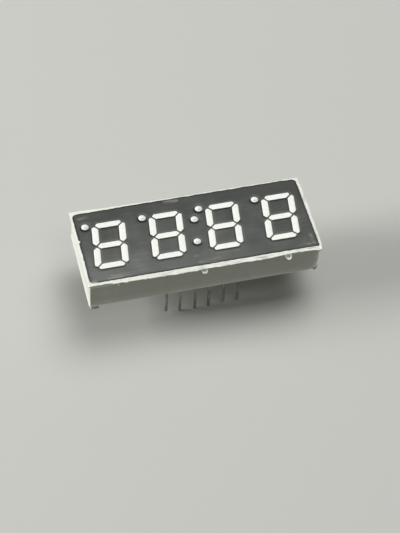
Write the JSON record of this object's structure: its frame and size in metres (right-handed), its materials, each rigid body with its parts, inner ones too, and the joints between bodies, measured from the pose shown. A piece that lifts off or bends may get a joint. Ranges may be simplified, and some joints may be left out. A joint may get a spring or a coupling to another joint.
{
  "type": "seven segment display module",
  "caption": "Flat rectangular seven segment LED display with slanted digits, decimal points and a colon in a white housing, on rows of through-hole wire pins.",
  "frame": {"origin": "under the middle of the module, on the plane of the pin tips that it stands on", "axes": "+X along the reading direction, +Y up the digits, +Z out of the display face"},
  "size_m": [0.0406, 0.0168, 0.0128],
  "materials": {
    "housing_plastic": "moulded satin",
    "mask_ink": "rolled ink, satin",
    "segment_epoxy": "cast, diffused",
    "board_laminate": "lacquered laminate",
    "led_chip": "polished die",
    "tinned_wire": "tinned, dull",
    "solder": "bright solder",
    "potting_resin": "poured, self-levelled"
  },
  "bodies": {
    "root": {"reflector_housing": "housing_plastic", "face_mask": "mask_ink", "digit_1_segment_a": "segment_epoxy", "digit_1_segment_b": "segment_epoxy", "digit_1_segment_c": "segment_epoxy", "digit_1_segment_d": "segment_epoxy", "digit_1_segment_e": "segment_epoxy", "digit_1_segment_f": "segment_epoxy", "digit_1_segment_g": "segment_epoxy", "digit_2_segment_a": "segment_epoxy", "digit_2_segment_b": "segment_epoxy", "digit_2_segment_c": "segment_epoxy", "digit_2_segment_d": "segment_epoxy", "digit_2_segment_e": "segment_epoxy", "digit_2_segment_f": "segment_epoxy", "digit_2_segment_g": "segment_epoxy", "digit_3_segment_a": "segment_epoxy", "digit_3_segment_b": "segment_epoxy", "digit_3_segment_c": "segment_epoxy", "digit_3_segment_d": "segment_epoxy", "digit_3_segment_e": "segment_epoxy", "digit_3_segment_f": "segment_epoxy", "digit_3_segment_g": "segment_epoxy", "digit_4_segment_a": "segment_epoxy", "digit_4_segment_b": "segment_epoxy", "digit_4_segment_c": "segment_epoxy", "digit_4_segment_d": "segment_epoxy", "digit_4_segment_e": "segment_epoxy", "digit_4_segment_f": "segment_epoxy", "digit_4_segment_g": "segment_epoxy", "digit_1_point": "segment_epoxy", "digit_2_point": "segment_epoxy", "digit_3_point": "segment_epoxy", "digit_4_point": "segment_epoxy", "colon_lower": "segment_epoxy", "colon_upper": "segment_epoxy", "circuit_board": "board_laminate", "digit_1_led_chips": "led_chip", "digit_2_led_chips": "led_chip", "digit_3_led_chips": "led_chip", "digit_4_led_chips": "led_chip", "colon_led_chips": "led_chip", "pin_01": "tinned_wire", "pin_02": "tinned_wire", "pin_03": "tinned_wire", "pin_04": "tinned_wire", "pin_05": "tinned_wire", "pin_06": "tinned_wire", "pin_07": "tinned_wire", "pin_08": "tinned_wire", "pin_09": "tinned_wire", "pin_10": "tinned_wire", "pin_11": "tinned_wire", "pin_12": "tinned_wire", "pin_solder_joints": "solder", "back_potting": "potting_resin"}
  },
  "joints": []
}
